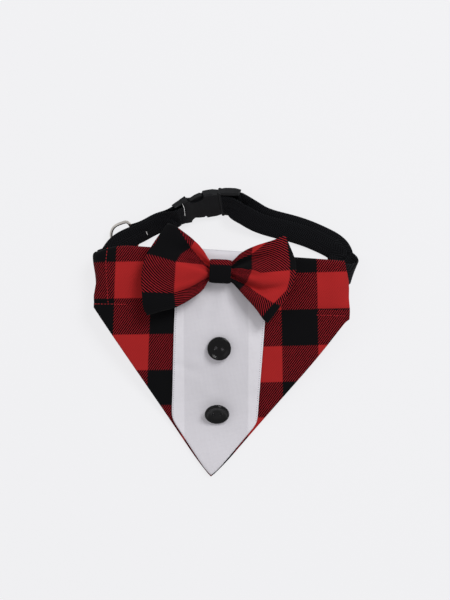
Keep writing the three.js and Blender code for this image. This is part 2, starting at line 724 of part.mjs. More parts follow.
// One springy arm. Columns: place from the notch's far end to the plug, outer and inner edge as shares
// of half the buckle's width.
const ARM_ROWS = [
  { place: 0, outer: 0.6, inner: 0.44 },
  { place: 0.1, outer: 0.74, inner: 0.46 },
  { place: 0.25, outer: 0.87, inner: 0.5 },
  { place: 0.4, outer: 0.94, inner: 0.54 },
  { place: 0.48, outer: 0.93, inner: 0.56 },
  { place: 0.56, outer: 0.8, inner: 0.58 },
  { place: 1, outer: 0.8, inner: 0.62 },
];

function plugArm(side, inside, thin) {
  const w = BUCKLE_WIDTH / 2;
  const from = NOTCH_FROM + 0.6;
  const to = PLUG_START + 1;
  return loft(
    ARM_ROWS.map((r) => {
      const x = mix(from, to, r.place);
      const open = x > NOTCH_FROM + 1 && x < NOTCH_TO - 1;
      const a = side * (open ? r.outer * w : Math.min(r.outer * w, inside));
      const b = side * r.inner * w;
      return [inBuckle(x, b, -thin), inBuckle(x, a, -thin), inBuckle(x, a, thin), inBuckle(x, b, thin)];
    }),
  );
}

// The D-ring: a bar across the strap, in its fold, and a bow towards the left bend.
const RING_FRAME = FRAMES.reduce((a, b) =>
  Math.abs(a.run - RING_FROM_BUCKLE) < Math.abs(b.run - RING_FROM_BUCKLE) ? a : b,
);
const RING_BAR_OUT = WEB_THICK / 2 + LAYER_GAP + RING_WIRE / 2;
const RING_SHIFT = RING_INSIDE / 2 - WEB_WIDTH / 2 - LAYER_GAP - 0.1;
const RING_CORNER = 2.6;
const RING_SIDES = 8;

function ringPoint(along, across) {
  const tilt = rad(RING_TILT);
  return strapPoint(
    RING_FRAME,
    RING_SHIFT + across,
    RING_BAR_OUT + along * Math.sin(tilt),
    along * Math.cos(tilt),
  );
}

function dRing() {
  const half = (RING_INSIDE + RING_WIRE) / 2;
  const points = [];
  for (const side of [-1, 0, 1]) points.push([0, side * (half - RING_CORNER)]);
  for (const angle of [35, 65]) {
    const a = rad(angle);
    points.push([RING_CORNER * (1 - Math.cos(a)), half - RING_CORNER * (1 - Math.sin(a))]);
  }
  const leg = RING_DEPTH - half + 1.5;
  for (let i = 0; i <= 12; i++) {
    const a = (i / 12) * Math.PI;
    points.push([Math.max(leg, 2) + (RING_DEPTH - Math.max(leg, 2)) * Math.sin(a), half * Math.cos(a)]);
  }
  for (const angle of [65, 35]) {
    const a = rad(angle);
    points.push([RING_CORNER * (1 - Math.cos(a)), -half + RING_CORNER * (1 - Math.sin(a))]);
  }
  const centres = points.map(([along, across]) => ringPoint(along, across));
  return closedTube(centres, RING_WIRE / 2, RING_SIDES);
}

// A round wire along a closed line.
function closedTube(centres, radius, sides) {
  const curve = new THREE.CatmullRomCurve3(centres, true, "centripetal");
  const count = 44;
  const middle = new THREE.Vector3();
  centres.forEach((p) => middle.addScaledVector(p, 1 / centres.length));
  const flat = centres[0].clone().sub(middle).cross(centres[5].clone().sub(middle)).normalize();
  const points = [];
  for (let i = 0; i < count; i++) {
    const p = curve.getPointAt(i / count);
    const along = curve.getTangentAt(i / count);
    const side = along.clone().cross(flat).normalize();
    for (let j = 0; j < sides; j++) {
      const a = (j / sides) * 2 * Math.PI;
      points.push(
        p.clone().addScaledVector(side, radius * Math.cos(a)).addScaledVector(flat, radius * Math.sin(a)),
      );
    }
  }
  const faces = [];
  for (let i = 0; i < count; i++)
    for (let j = 0; j < sides; j++) {
      const a = i * sides + j;
      const b = i * sides + ((j + 1) % sides);
      const c = ((i + 1) % count) * sides + j;
      const d = ((i + 1) % count) * sides + ((j + 1) % sides);
      faces.push(a, c, b, b, c, d);
    }
  const geometry = new THREE.BufferGeometry().setFromPoints(points);
  geometry.setIndex(faces);
  const made = solid(geometry);
  if (made.volume() > 0) return made;
  for (let i = 0; i < faces.length; i += 3) [faces[i], faces[i + 1]] = [faces[i + 1], faces[i]];
  geometry.setIndex(faces);
  return solid(geometry);
}

// The bow's wings. Columns, as shares of its half length, half height and puff: places of the top and the
// bottom edge, how far the outline bulges between them, half thickness, depth of the folds, and rise.
const LEFT_WING = [
  { topX: 0.02, topY: 0.2, lowX: 0.02, lowY: -0.2, bulge: 0, thick: 0.5, fold: 0.12, rise: 0 },
  { topX: 0.14, topY: 0.21, lowX: 0.14, lowY: -0.21, bulge: 0, thick: 0.52, fold: 0.16, rise: 0 },
  { topX: 0.22, topY: 0.43, lowX: 0.2, lowY: -0.42, bulge: 0.01, thick: 0.62, fold: 0.55, rise: 0.3 },
  { topX: 0.38, topY: 0.68, lowX: 0.34, lowY: -0.62, bulge: 0.02, thick: 0.8, fold: 0.75, rise: 0.75 },
  { topX: 0.55, topY: 0.86, lowX: 0.54, lowY: -0.84, bulge: 0.04, thick: 1, fold: 0.6, rise: 1 },
  { topX: 0.64, topY: 0.92, lowX: 0.74, lowY: -0.93, bulge: 0.12, thick: 0.9, fold: 0.35, rise: 0.9 },
  { topX: 0.7, topY: 0.95, lowX: 0.87, lowY: -0.99, bulge: 0.21, thick: 0.5, fold: 0.15, rise: 0.55 },
];
const RIGHT_WING = [
  { topX: 0.02, topY: 0.2, lowX: 0.02, lowY: -0.2, bulge: 0, thick: 0.5, fold: 0.12, rise: 0 },
  { topX: 0.14, topY: 0.21, lowX: 0.14, lowY: -0.21, bulge: 0, thick: 0.52, fold: 0.16, rise: 0 },
  { topX: 0.24, topY: 0.42, lowX: 0.22, lowY: -0.34, bulge: 0.01, thick: 0.62, fold: 0.6, rise: 0.3 },
  { topX: 0.44, topY: 0.6, lowX: 0.36, lowY: -0.58, bulge: 0.02, thick: 0.8, fold: 0.85, rise: 0.75 },
  { topX: 0.64, topY: 0.72, lowX: 0.5, lowY: -0.8, bulge: 0.06, thick: 1, fold: 0.65, rise: 1 },
  { topX: 0.74, topY: 0.81, lowX: 0.6, lowY: -0.93, bulge: 0.11, thick: 0.9, fold: 0.4, rise: 0.9 },
  { topX: 0.8, topY: 0.84, lowX: 0.66, lowY: -1, bulge: 0.2, thick: 0.5, fold: 0.15, rise: 0.55 },
];
const WING_STATIONS = 11;
const WING_ROWS = 10;
const KNOT_Z = SLEEVE_FRONT_Z + LAYER_GAP + FRONT_CLOTH + LAYER_GAP + KNOT_THICK / 2;

function wingRing(side, place, inset) {
  const rows = side < 0 ? LEFT_WING : RIGHT_WING;
  const at = (name) => column(rows, name, place);
  const ring = [];
  const half = Math.max(BOW_PUFF * at("thick") - inset, 0.4);
  for (let i = 0; i < 2 * WING_ROWS; i++) {
    const back = i >= WING_ROWS;
    const v = (back ? 2 * WING_ROWS - i : i) / WING_ROWS;
    const height = BOW_HALF_HEIGHT * mix(at("topY"), at("lowY"), v);
    const squeeze = 1 - (2 * inset) / (BOW_HALF_HEIGHT * (at("topY") - at("lowY")));
    const middle = (BOW_HALF_HEIGHT * (at("topY") + at("lowY"))) / 2;
    const reach = BOW_HALF * (mix(at("topX"), at("lowX"), v) + at("bulge") * Math.sin(Math.PI * v));
    const wave = BOW_PUFF * at("fold") * Math.cos(4 * Math.PI * v) * 0.5;
    const thick = half * (0.25 + 0.75 * Math.pow(Math.sin(Math.PI * v), 0.6));
    ring.push(
      new THREE.Vector3(
        KNOT_X + side * reach,
        KNOT_Y + middle + (height - middle) * squeeze,
        KNOT_Z + BOW_RISE * at("rise") + wave + (back ? -thick : thick),
      ),
    );
  }
  return ring;
}

function wingStations(side, inset) {
  const end = inset ? 0.93 : 1;
  const rings = [];
  for (let i = 0; i <= WING_STATIONS; i++) rings.push(wingRing(side, (end * i) / WING_STATIONS, inset));
  return rings;
}

function bowSkin(inset) {
  return loft([...wingStations(-1, inset).reverse(), ...wingStations(1, inset)]);
}

// The bow is a pillow of two layers, turned right side out through a slit behind its knot.
function bowWings() {
  const slit = new THREE.BoxGeometry(KNOT_WIDTH * 0.3, KNOT_HEIGHT * 0.3, KNOT_THICK);
  slit.translate(KNOT_X, KNOT_Y, KNOT_Z - KNOT_THICK / 2);
  return bowSkin(0).subtract(bowSkin(BOW_CLOTH)).subtract(solid(slit));
}

// The knot: a band round the pinched middle of the bow.
function bowKnot() {
  const oval = (x, height, thick, swell) =>
    Array.from({ length: 20 }, (_, i) => {
      const a = (i / 20) * 2 * Math.PI;
      const c = Math.cos(a);
      const s = Math.sin(a);
      const corner = Math.pow(Math.pow(Math.abs(c), 4) + Math.pow(Math.abs(s), 4), -0.25);
      return new THREE.Vector3(
        KNOT_X + x,
        KNOT_Y + (height / 2) * c * corner * swell,
        KNOT_Z + (thick / 2) * s * corner * swell,
      );
    });
  const shares = [-0.5, -0.42, -0.2, 0, 0.2, 0.42, 0.5];
  const swells = [0.93, 0.99, 1, 1, 1, 0.99, 0.93];
  const outside = loft(shares.map((s, i) => oval(s * KNOT_WIDTH, KNOT_HEIGHT, KNOT_THICK, swells[i])));
  const holes = [-0.6, 0.6].map((s) =>
    oval(s * KNOT_WIDTH, KNOT_HEIGHT - 2 * KNOT_CLOTH, KNOT_THICK - 2 * KNOT_CLOTH, 1),
  );
  return outside.subtract(loft(holes));
}

// A dished button with a rim and two holes, at its own origin.
function buttonShape() {
  const r = BUTTON_DIAMETER / 2;
  const t = BUTTON_THICK;
  const profile = [
    [0, 0],
    [r - 1.6, 0],
    [r - 0.3, 0.7],
    [r, 1.3],
    [r, t - 0.7],
    [r - 0.5, t],
    [r - BUTTON_RIM, t],
    [r - BUTTON_RIM - 0.9, t - BUTTON_DISH],
    [0, t - BUTTON_DISH],
  ].map(([x, y]) => new THREE.Vector2(x, y));
  const body = solid(new THREE.LatheGeometry(profile, 26).rotateX(Math.PI / 2));
  return [-1, 1].reduce((made, side) => {
    const hole = new THREE.CylinderGeometry(BUTTON_HOLE / 2, BUTTON_HOLE / 2, 3 * t, 12);
    hole.rotateX(Math.PI / 2).translate((side * BUTTON_HOLE_PITCH) / 2, 0, 0);
    return made.subtract(solid(hole));
  }, body);
}

// Buttons on the shirt front. Columns: place down from the seam as a share of the drop to the tip, right
// from the front's middle, the tilt of its face towards the tip in degrees, and its turn.
const BUTTONS = [
  { name: "button_upper", down: 0.231, right: 0.8, tilt: 7, turn: -8 },
  { name: "button_lower", down: 0.612, right: 1.5, tilt: 40, turn: 4 },
];

function placedButton(row) {
  const button = geometryOf(buttonShape());
  button.rotateX(rad(row.tilt)).rotateZ(rad(row.turn));
  button.translate(FRONT_OFFSET + row.right, -TIP_DROP * row.down, 0);
  const place = button.getAttribute("position");
  let lift = 0;
  for (let i = 0; i < place.count; i++) {
    const under = clothHeight(place.getX(i), place.getY(i)) + CLOTH + LAYER_GAP + FRONT_CLOTH;
    lift = Math.max(lift, under - place.getZ(i));
  }
  button.translate(0, 0, lift + LAYER_GAP);
  const mesh = new THREE.Mesh(button, BUTTON_MATERIAL);
  mesh.name = row.name;
  return mesh;
}

const cloth = (color) => new THREE.MeshStandardMaterial({ color, roughness: 0.95, metalness: 0 });
const PLAID_MATERIAL = cloth(0x9a1d20);
const WHITE_MATERIAL = cloth(0xd8d6dc);
const WEBBING_MATERIAL = cloth(0x101012);
const KNOT_MATERIAL = cloth(0x131416);
const BUTTON_MATERIAL = new THREE.MeshStandardMaterial({ color: 0x0c0c0d, roughness: 0.25 });
const PLASTIC_MATERIAL = new THREE.MeshStandardMaterial({ color: 0x161617, roughness: 0.45 });
const METAL_MATERIAL = new THREE.MeshStandardMaterial({ color: 0xd9d4cc, roughness: 0.2, metalness: 1 });

function meshOf(name, body, material) {
  const mesh = new THREE.Mesh(geometryOf(body), material);
  mesh.name = name;
  return mesh;
}

const collar = new THREE.Group();
collar.add(
  meshOf("strap", strap(), WEBBING_MATERIAL),
  meshOf("buckle_socket", buckleSocket(), PLASTIC_MATERIAL),
  meshOf("buckle_plug", bucklePlug(), PLASTIC_MATERIAL),
  meshOf("d_ring", dRing(), METAL_MATERIAL),
  meshOf("neckerchief", neckerchief(), PLAID_MATERIAL),
  meshOf("shirt_front", shirtFront(), WHITE_MATERIAL),
  meshOf("bow_wings", bowWings(), PLAID_MATERIAL),
  meshOf("bow_knot", bowKnot(), KNOT_MATERIAL),
  ...BUTTONS.map(placedButton),
);

// The origin is on the table, under the middle of the whole collar.
const bounds = new THREE.Box3().setFromObject(collar, true);
const centre = bounds.getCenter(new THREE.Vector3());
collar.children.forEach((mesh) => mesh.position.sub(new THREE.Vector3(centre.x, centre.y, bounds.min.z)));

export default collar;
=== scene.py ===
# A pet bow tie collar lying face up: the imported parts, with the finish of the real cloth, webbing, plastic
# and metal. Lengths are in metres, and those whose name ends in MM are in millimetres.
import math

import bmesh
import bpy
from mathutils import Matrix, Vector
from mathutils.bvhtree import BVHTree


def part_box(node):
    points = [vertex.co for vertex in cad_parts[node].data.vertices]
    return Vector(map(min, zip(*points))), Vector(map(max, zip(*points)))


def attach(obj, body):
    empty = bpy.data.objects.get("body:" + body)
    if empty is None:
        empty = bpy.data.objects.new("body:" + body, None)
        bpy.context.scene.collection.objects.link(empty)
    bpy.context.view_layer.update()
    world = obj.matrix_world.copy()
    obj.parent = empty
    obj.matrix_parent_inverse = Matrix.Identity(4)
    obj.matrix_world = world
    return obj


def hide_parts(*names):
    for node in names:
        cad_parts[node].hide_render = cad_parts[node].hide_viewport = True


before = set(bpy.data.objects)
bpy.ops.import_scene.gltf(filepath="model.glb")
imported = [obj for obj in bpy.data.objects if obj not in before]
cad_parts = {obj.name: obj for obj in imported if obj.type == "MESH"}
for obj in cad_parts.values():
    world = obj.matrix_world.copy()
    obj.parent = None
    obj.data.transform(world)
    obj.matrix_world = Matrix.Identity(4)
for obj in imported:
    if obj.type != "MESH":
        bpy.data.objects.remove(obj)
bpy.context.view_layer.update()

# Camera
# It looks straight down from just under a metre above the middle of the picture, and is turned three
# degrees, as the photograph is. Its long side covers 420 mm at 15 mm above the floor.
MM = 0.001
VIEW_SPAN_MM = 420
VIEW_DISTANCE_MM = 950
VIEW_LEVEL_MM = 15
VIEW_MIDDLE_MM = (0.65, 23.8)
VIEW_ROLL = math.radians(3)
camera = bpy.data.objects.new("camera", bpy.data.cameras.new("camera"))
bpy.context.scene.collection.objects.link(camera)
camera.location = Vector((*VIEW_MIDDLE_MM, VIEW_DISTANCE_MM + VIEW_LEVEL_MM)) * MM
camera.rotation_euler = (0, 0, VIEW_ROLL)
camera.data.angle = 2 * math.atan(VIEW_SPAN_MM / 2 / VIEW_DISTANCE_MM)
bpy.context.scene.camera = camera
bpy.context.scene.view_settings.view_transform = "Standard"

# Floor and studio lights
# A matte white sheet, lit a little from behind as on a light table, so that the collar hardly shades it. An
# even white sky and one large soft light from the upper right give the folds their shape.


def linear(hex_colour):
    """sRGB hex to the linear red, green, blue and alpha that a socket takes."""
    parts = [int(hex_colour[i : i + 2], 16) / 255 for i in (1, 3, 5)]
    return [p / 12.92 if p <= 0.04045 else ((p + 0.055) / 1.055) ** 2.4 for p in parts] + [1]


def new_material(name, **settings):
    """A material with one Principled shader, whose sockets are named with _ for a space."""
    material = bpy.data.materials.new(name)
    material.use_nodes = True
    shader = material.node_tree.nodes["Principled BSDF"]
    for socket, value in settings.items():
        shader.inputs[socket.replace("_", " ")].default_value = value
    return material, shader


def add(material, kind, settings=None, links=None):
    """Adds a shader node. A setting is a socket or a property, and a link's source is a node or
    (node, output)."""
    made = material.node_tree.nodes.new("ShaderNode" + kind)
    for name, value in (settings or {}).items():
        if isinstance(name, int) or name in made.inputs:
            made.inputs[name].default_value = value
        else:
            setattr(made, name, value)
    for name, source in (links or {}).items():
        feed, output = source if isinstance(source, tuple) else (source, 0)
        material.node_tree.links.new(feed.outputs[output], made.inputs[name])
    return made


def drive(material, shader, **sources):
    """Links nodes to the shader's sockets, whose names are given with _ for a space."""
    for name, source in sources.items():
        feed, output = source if isinstance(source, tuple) else (source, 0)
        material.node_tree.links.new(feed.outputs[output], shader.inputs[name.replace("_", " ")])


bpy.ops.object.select_all(action="DESELECT")
FLOOR_SIDE = 60
bpy.ops.mesh.primitive_plane_add(size=FLOOR_SIDE)
floor = bpy.context.object
floor.name = "floor"
paper, _ = new_material(
    "matte white sheet, lit from behind",
    Base_Color=linear("#5A5A5B"),
    Roughness=0.9,
    Specular_IOR_Level=0.0,
    Emission_Color=linear("#FDFDFF"),
    Emission_Strength=0.785,
)
floor.data.materials.append(paper)

sky = bpy.data.worlds.new("even white sky")
bpy.context.scene.world = sky
sky.use_nodes = True
sky.node_tree.nodes["Background"].inputs["Color"].default_value = linear("#FEFDFF")
sky.node_tree.nodes["Background"].inputs["Strength"].default_value = 0.56

SOFT_LIGHTS = [
    # name, place in metres, side in metres, watts
    ("soft_box", (0.7, 0.95, 1.5), 0.7, 21),
    ("fill_panel", (-1.1, 0.3, 1.4), 1.2, 2.5),
]
for name, place, side, watts in SOFT_LIGHTS:
    light = bpy.data.lights.new(name, "AREA")
    light.size = side
    light.energy = watts
    lamp = bpy.data.objects.new(name, light)
    bpy.context.scene.collection.objects.link(lamp)
    lamp.location = place
    lamp.rotation_euler = Vector(place).to_track_quat("Z", "Y").to_euler()

# Neckerchief
# A triangle of brushed cotton flannel in a red and black check, folded over along its top into the sleeve
# that the strap runs through, and hemmed at the ends. Two layers are sewn right sides out.
CHECK_MM = 25.4
TWILL_MM = 1.3

# It has a point on its top row, where one of its columns lies, how both slant, and that column's count of
# bands.
KERCHIEF_CHECK = {
    "left": {"row_at": (-60, 47.4), "row_slant": 0.07, "column_at": -76.3, "column_slant": 0, "first": 2},
    "right": {"row_at": (60, 46), "row_slant": 0.08, "column_at": 41.6, "column_slant": -0.08, "first": 5},
}
SIDES_MEET_MM = -10
TOP_ROW = 2  # the count of bands at the top row
MERGE_WITHIN = 2e-6
PAIRING_ANGLE = math.radians(60)
CREASE = 0.8


def smoothed_copy(node, name, levels, sharp_degrees=180):
    """A finer copy of a CAD node: its loose triangles are merged, paired into quads and subdivided."""
    piece = bpy.data.objects.new(name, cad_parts[node].data.copy())
    bpy.context.scene.collection.objects.link(piece)
    bpy.ops.object.select_all(action="DESELECT")
    piece.select_set(True)
    bpy.context.view_layer.objects.active = piece
    bpy.ops.mesh.customdata_custom_splitnormals_clear()
    bpy.ops.object.mode_set(mode="EDIT")
    bpy.ops.mesh.select_all(action="SELECT")
    bpy.ops.mesh.remove_doubles(threshold=MERGE_WITHIN)
    bpy.ops.mesh.tris_convert_to_quads(face_threshold=PAIRING_ANGLE, shape_threshold=PAIRING_ANGLE)
    bpy.ops.object.mode_set(mode="OBJECT")
    shape = bmesh.new()
    shape.from_mesh(piece.data)
    crease = shape.edges.layers.float.new("crease_edge")
    for edge in shape.edges:
        if edge.calc_face_angle(0) > math.radians(sharp_degrees):
            edge[crease] = CREASE
    shape.to_mesh(piece.data)
    shape.free()
    finer = piece.modifiers.new("finer", "SUBSURF")
    finer.levels = finer.render_levels = levels
    bpy.ops.object.modifier_apply(modifier=finer.name)
    bpy.ops.object.shade_smooth()
    piece.data.materials.clear()
    return piece


def lay_out(piece, name, place):
    """Gives the piece a UV map, from a function of a vertex's place in millimetres."""
    layer = piece.data.uv_layers.new(name=name)
    spots = [place(vertex.co / MM) for vertex in piece.data.vertices]
    for loop in piece.data.loops:
        layer.data[loop.index].uv = spots[loop.vertex_index]


def check_of_neckerchief(place):
    """Counts of bands across and down the cloth. An odd number is a dark band."""
    check = KERCHIEF_CHECK["left" if place.x < SIDES_MEET_MM else "right"]
    top_row = check["row_at"][1] + check["row_slant"] * (place.x - check["row_at"][0])
    column = check["column_at"] + check["column_slant"] * place.y
    return check["first"] + (place.x - column) / CHECK_MM, TOP_ROW + (top_row - place.y) / CHECK_MM


def flannel(name, line_turn):
    """Brushed flannel: red where no dark band runs, black where two cross, and fine twill lines of both where
    one runs. Its fuzz dulls it and takes nearly all its shine. line_turn is the way across the lines."""
    material, shader = new_material(name, Roughness=0.95, Specular_IOR_Level=0.05, Sheen_Weight=0.02)
    checks = add(material, "UVMap", {"uv_map": "cloth"})
    split = add(material, "SeparateXYZ", links={"Vector": checks})
    bands = []
    for axis in (0, 1):
        moved = add(material, "Math", {"operation": "SUBTRACT", 1: 0.5}, {0: (split, axis)})
        wave = add(material, "Math", {"operation": "PINGPONG", 1: 1.0}, {0: moved})
        bands.append(add(material, "MapRange", {"From Min": 0.485, "From Max": 0.515}, {"Value": wave}))
    turn = math.radians(line_turn)
    pitch = 2 * math.pi
    way = (pitch * math.cos(turn), pitch * math.sin(turn), 0)
    threads = add(material, "UVMap", {"uv_map": "threads"})
    across = add(material, "VectorMath", {"operation": "DOT_PRODUCT", 1: way}, {0: threads})
    slub = add(material, "TexNoise", {"Scale": 7.0, "Detail": 3.0}, {"Vector": checks})
    phase = add(material, "Math", {"operation": "MULTIPLY_ADD", 1: 2.5}, {0: slub, 2: (across, 1)})
    lines = add(material, "Math", {"operation": "SINE"}, {0: phase})
    ridge = add(material, "MapRange", {"From Min": -0.88, "From Max": -0.48}, {"Value": lines})
    both = add(material, "Math", {"operation": "MULTIPLY"}, {0: bands[0], 1: bands[1]})
    one = add(material, "Math", {"operation": "MAXIMUM"}, {0: bands[0], 1: bands[1]})
    fuzz = add(material, "TexNoise", {"Scale": 60.0, "Detail": 4.0, "Roughness": 0.7}, {"Vector": checks})
    tone = add(material, "Math", {"operation": "MULTIPLY_ADD", 1: 0.35, 2: 0.0}, {0: ridge})
    tone = add(material, "Math", {"operation": "MULTIPLY_ADD", 1: 0.65}, {0: fuzz, 2: tone})
    reds = add(material, "Mix", {"data_type": "RGBA", 6: linear("#B02827"), 7: linear("#922021")}, {0: tone})
    twill_colours = {"data_type": "RGBA", 6: linear("#A02129"), 7: linear("#0C0405")}
    thread = add(material, "Mix", twill_colours, {0: ridge})
    black_colours = {"data_type": "RGBA", 6: linear("#101012"), 7: linear("#09090A")}
    blacks = add(material, "Mix", black_colours, {0: tone})
    colour = add(material, "Mix", {"data_type": "RGBA"}, {0: one, 6: (reds, 2), 7: (thread, 2)})
    colour = add(material, "Mix", {"data_type": "RGBA"}, {0: both, 6: (colour, 2), 7: (blacks, 2)})
    drape = add(material, "TexNoise", {"Scale": 1.1, "Detail": 1.0}, {"Vector": checks})
    soft = add(material, "Bump", {"Strength": 0.35, "Distance": 0.004}, {"Height": drape})
    nap = add(material, "Bump", {"Strength": 0.3, "Distance": 0.0003}, {"Height": fuzz, "Normal": soft})
    drive(material, shader, Base_Color=(colour, 2), Normal=nap)
    return material


def press_folds(piece, folds, floor_mm=-1, soft_mm=3):
    """Presses valleys into the cloth along lines of (x, y, depth) points, all in millimetres. Cloth at or
    below floor_mm stays where it is."""
    for vertex in piece.data.vertices:
        spot = vertex.co / MM
        hold = min(1, max(0, (spot.z - floor_mm) / soft_mm))
        if not hold:
            continue
        sink = 0
        for width, points in folds:
            best = None
            for p, q in zip(points, points[1:]):
                ex, ey = q[0] - p[0], q[1] - p[1]
                share = ((spot.x - p[0]) * ex + (spot.y - p[1]) * ey) / (ex * ex + ey * ey)
                share = min(1, max(0, share))
                away = math.hypot(spot.x - p[0] - ex * share, spot.y - p[1] - ey * share)
                if best is None or away < best[0]:
                    best = (away, p[2] + (q[2] - p[2]) * share)
            sink += best[1] * math.exp(-((best[0] / width) ** 2))
        vertex.co.z -= sink * hold * MM


KERCHIEF_FOLDS = [
    # width, then points of (x, y, depth)
    (1.1, [(-92, 17.4, 0.9), (-80, 18.2, 0.9), (-66, 18.6, 0.5), (-56, 19, 0)]),
    (1.1, [(58, 20.4, 0), (65, 20.8, 0.7), (76, 21.4, 0.9), (89, 22, 0.9)]),
    (0.8, [(79, 35, 0.4), (85, 35.3, 0.4), (85.6, 23.3, 0.4)]),
    (7.0, [(50, 40, 0), (60, 44, 0.9), (68, 42, 0.9), (78, 38, 0)]),
]
SLEEVE_DROOP_MM = 6
DROOP_FROM_MM = (-66, 34)
DROOP_OVER_MM = (24, 22)  # it reaches its full depth over these lengths


def droop_corner(piece):
    """The sleeve's upper left corner hangs lower than the rest of its fold, off the turn of the strap."""
    for vertex in piece.data.vertices:
        spot = vertex.co / MM
        out = min(1, max(0, (DROOP_FROM_MM[0] - spot.x) / DROOP_OVER_MM[0]))
        up = min(1, max(0, (spot.y - DROOP_FROM_MM[1]) / DROOP_OVER_MM[1]))
        vertex.co.y -= SLEEVE_DROOP_MM * MM * out * out * up


neckerchief = smoothed_copy("neckerchief", "neckerchief_cloth", 2, 50)
press_folds(neckerchief, KERCHIEF_FOLDS, 8)
droop_corner(neckerchief)
lay_out(neckerchief, "cloth", check_of_neckerchief)
lay_out(neckerchief, "threads", lambda place: (place.x / TWILL_MM, place.y / TWILL_MM))
neckerchief.data.materials.append(flannel("brushed flannel, check", -33))
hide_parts("neckerchief")
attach(neckerchief, "collar")

# Shirt front
# A tapering panel of plain white cotton down the middle, hemmed and sewn on with white thread near its edges.
PHOTO_WIDTH, PHOTO_HEIGHT = 450, 600
FRONT_STRAIGHT_MM = 20  # its sides run straight up from here
FRONT_SHOULDER_MM = -61  # its sides end here, and its point begins
FRONT_NARROWS_MM = 1  # on each side, from the bow down to the point
front_low, front_high = [corner / MM for corner in map(Vector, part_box("shirt_front"))]


def seen(pixel_x, pixel_y, height):
    """The x and y, in mm, where the sight line through a pixel of the photograph comes to a height."""
    away = (VIEW_DISTANCE_MM + VIEW_LEVEL_MM - height) / VIEW_DISTANCE_MM
    pixel = VIEW_SPAN_MM / PHOTO_HEIGHT * away
    across = (pixel_x - PHOTO_WIDTH / 2) * pixel
    up = (PHOTO_HEIGHT / 2 - pixel_y) * pixel
    x = VIEW_MIDDLE_MM[0] + across * math.cos(VIEW_ROLL) - up * math.sin(VIEW_ROLL)
    y = VIEW_MIDDLE_MM[1] + across * math.sin(VIEW_ROLL) + up * math.cos(VIEW_ROLL)
    return x, y


# The hems are turned in behind the panel up to these lines, and show through as lighter bands. The lines are
# pixels of the photograph.
FRONT_LEVEL_MM = 12
HEM_LEFT = [seen(184, 440, FRONT_LEVEL_MM), seen(184, 300, FRONT_LEVEL_MM)]
HEM_RIGHT = [seen(248, 440, FRONT_LEVEL_MM), seen(248, 300, FRONT_LEVEL_MM)]
HEM_BLUR_MM = 1.2
WAVE_LENGTH = 0.314159  # of a wave texture whose scale is 1
WEAVE_PITCH = 0.0009


def read_line(points, where, axis):
    """How far a line has come on the other axis at this place on the one. Its ends hold beyond it."""
    for p, q in zip(points, points[1:]):
        if where <= q[axis]:
            share = max(0, (where - p[axis]) / (q[axis] - p[axis]))
            return p[1 - axis] + (q[1 - axis] - p[1 - axis]) * share
    return points[-1][1 - axis]


def cloth_of_front(place):
    """Distances inwards from the left and right hems, counted in their blur."""
    left = place.x - read_line(HEM_LEFT, place.y, 1)
    right = read_line(HEM_RIGHT, place.y, 1) - place.x
    return left / HEM_BLUR_MM, right / HEM_BLUR_MM


def cotton_finish():
    """Plain woven cotton: a fine grid of threads, drawn 0.9 mm apart to show, and lighter at its hems."""
    material, shader = new_material(
        "plain white cotton", Roughness=0.9, Specular_IOR_Level=0.15, Sheen_Weight=0.05
    )
    place = add(material, "TexCoord")
    threads = []
    waves = {"Scale": WAVE_LENGTH / WEAVE_PITCH, "Distortion": 1.5, "Detail": 1.0}
    for direction in ("X", "Y"):
        settings = {"bands_direction": direction, **waves}
        threads.append(add(material, "TexWave", settings, {"Vector": (place, "Object")}))
    weave = add(material, "Math", {"operation": "ADD"}, {0: (threads[0], 1), 1: (threads[1], 1)})
    slub = add(material, "TexNoise", {"Scale": 260.0, "Detail": 3.0}, {"Vector": (place, "Object")})
    weave = add(material, "Math", {"operation": "MULTIPLY_ADD", 1: 0.45}, {0: weave, 2: slub})
    hems = add(material, "UVMap", {"uv_map": "cloth"})
    split = add(material, "SeparateXYZ", links={"Vector": hems})
    edge = add(material, "Math", {"operation": "MINIMUM"}, {0: (split, 0), 1: (split, 1)})
    falling = {"From Min": -0.5, "From Max": 0.5, "To Min": 1.0, "To Max": 0.0}
    double = add(material, "MapRange", falling, {"Value": edge})
    single_colours = {"data_type": "RGBA", 6: linear("#C6C4CA"), 7: linear("#CFCDD2")}
    single = add(material, "Mix", single_colours, {0: weave})
    hem = add(material, "Mix", {"data_type": "RGBA", 6: linear("#D0CED3"), 7: linear("#DAD8DD")}, {0: weave})
    colour = add(material, "Mix", {"data_type": "RGBA"}, {0: double, 6: (single, 2), 7: (hem, 2)})
    drape = add(material, "TexNoise", {"Scale": 38.0, "Detail": 1.0}, {"Vector": (place, "Object")})
    soft = add(material, "Bump", {"Strength": 0.4, "Distance": 0.004}, {"Height": drape})
    raised = add(material, "Bump", {"Strength": 0.3, "Distance": 0.0003}, {"Height": double, "Normal": soft})
    nap = add(material, "Bump", {"Strength": 0.25, "Distance": 0.0003}, {"Height": weave, "Normal": raised})
    drive(material, shader, Base_Color=(colour, 2), Normal=nap)
    return material


FRONT_FOLDS = [
    # width, then points of (x, y, depth)
    (5, [(-6, 30, 0.7), (-10, 8, 0.9), (-14, -10, 0)]),
    (4, [(2, 30, 0.6), (8, 12, 0.7), (14, -4, 0)]),
    (3.5, [(-28, -24, 0.5), (-19, -27, 0.6), (-12, -26, 0)]),
    (6, [(-3, -22, 0), (-2.5, -36, 0.6), (-2, -48, 0)]),
]
shirt_front = smoothed_copy("shirt_front", "shirt_front_cloth", 2, 50)
press_folds(shirt_front, FRONT_FOLDS)
lay_out(shirt_front, "cloth", cloth_of_front)
shirt_front.data.materials.append(cotton_finish())
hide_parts("shirt_front")
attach(shirt_front, "collar")

